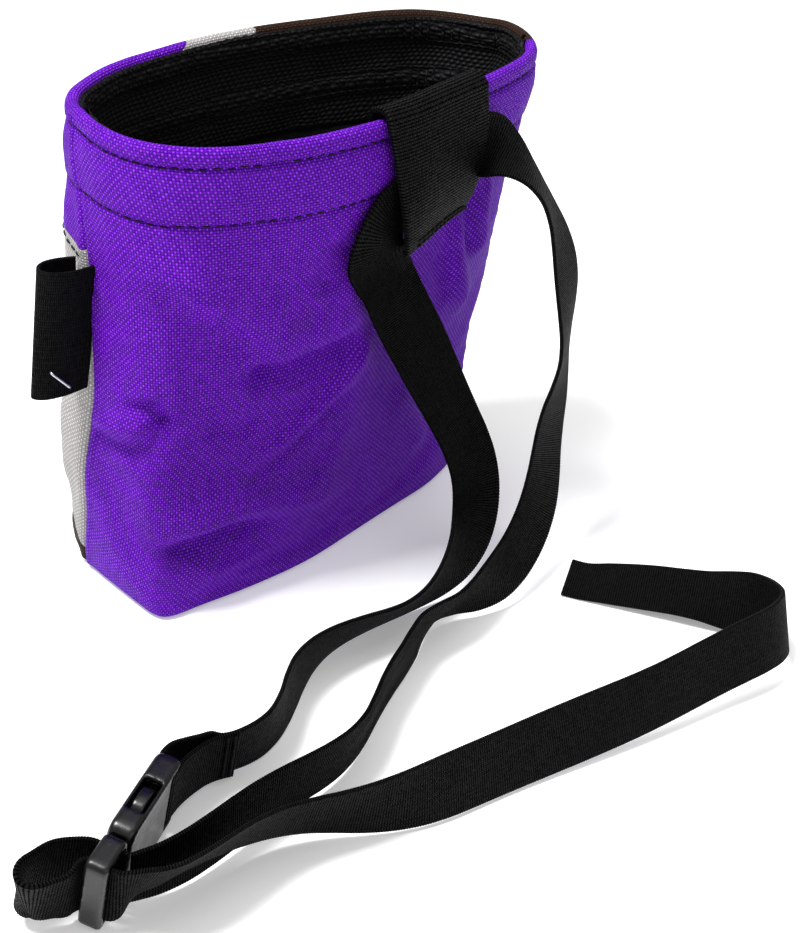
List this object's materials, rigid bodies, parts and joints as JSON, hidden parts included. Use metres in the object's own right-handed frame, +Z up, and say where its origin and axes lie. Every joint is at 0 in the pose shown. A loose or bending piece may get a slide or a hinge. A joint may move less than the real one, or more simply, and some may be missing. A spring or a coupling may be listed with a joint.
{
  "type": "treat pouch with belt",
  "caption": "Soft training treat pouch with an open stiffened mouth, boxed bottom, lined inside, webbing belt through a rim loop and a side-release buckle.",
  "frame": {"origin": "on the floor under the middle of the pouch's mouth, Z = 0 at the outside of the boxed bottom", "axes": "+Z up out of the mouth, -Y toward the wearer side that carries the belt loop, +X along the mouth away from the folded side loop"},
  "size_m": [0.2582, 0.2082, 0.1598],
  "materials": {
    "violet_fabric": "coarse plain weave, slight sheen",
    "white_fabric": "plain weave",
    "brown_fabric": "plain weave",
    "mesh": "coarse open mesh",
    "fleece": "short pile",
    "webbing": "cross-ribbed webbing",
    "elastic": "fine ribbed elastic",
    "thread": "sewing thread",
    "buckle_plastic": "satin moulded plastic",
    "stiffener_plastic": "flexible strip",
    "staple_steel": "wire"
  },
  "bodies": {
    "pouch": {"back_panel": "violet_fabric", "front_panel_violet": "violet_fabric", "front_panel_white": "white_fabric", "front_panel_brown": "brown_fabric", "base_panel": "brown_fabric", "rim_stiffener": "stiffener_plastic", "mesh_collar": "mesh", "fleece_lining": "fleece", "rim_topstitch_upper": "thread", "rim_topstitch_lower": "thread", "stripe_topstitch": "thread", "belt_loop": "webbing", "belt_loop_stitching": "thread", "side_loop": "elastic", "side_loop_staple": "staple_steel"},
    "belt": {"belt_webbing_socket_run": "webbing", "belt_webbing_plug_run": "webbing", "belt_bar_tack": "thread", "buckle_socket": "buckle_plastic"},
    "plug": {"buckle_plug": "buckle_plastic", "belt_tail": "webbing"},
    "arm_upper": {"release_arm_upper": "buckle_plastic"},
    "arm_lower": {"release_arm_lower": "buckle_plastic"}
  },
  "joints": [
    {"name": "belt_slide", "type": "slide", "parent": "pouch", "child": "belt", "axis": [0.9707, 0.2402, 0], "range_m": [-0.008, 0.008], "deforming": ["belt_webbing_socket_run", "belt_webbing_plug_run"]},
    {"name": "buckle_release", "type": "slide", "parent": "belt", "child": "plug", "axis": [-0.8474, -0.5309, 0], "range_m": [0, 0.03], "deforming": ["belt_webbing_plug_run", "release_arm_upper", "release_arm_lower"]},
    {"name": "arm_upper_squeeze", "type": "hinge", "parent": "plug", "child": "arm_upper", "pos_m": [-0.13446, -0.12151, 0.01854], "axis": [-0.5256, 0.839, 0.1405], "range_deg": [0, 8], "stiffness_Nm_per_rad": 0.05},
    {"name": "arm_lower_squeeze", "type": "hinge", "parent": "plug", "child": "arm_lower", "pos_m": [-0.13537, -0.12006, 0.00646], "axis": [0.5256, -0.839, -0.1405], "range_deg": [0, 8], "stiffness_Nm_per_rad": 0.05}
  ]
}
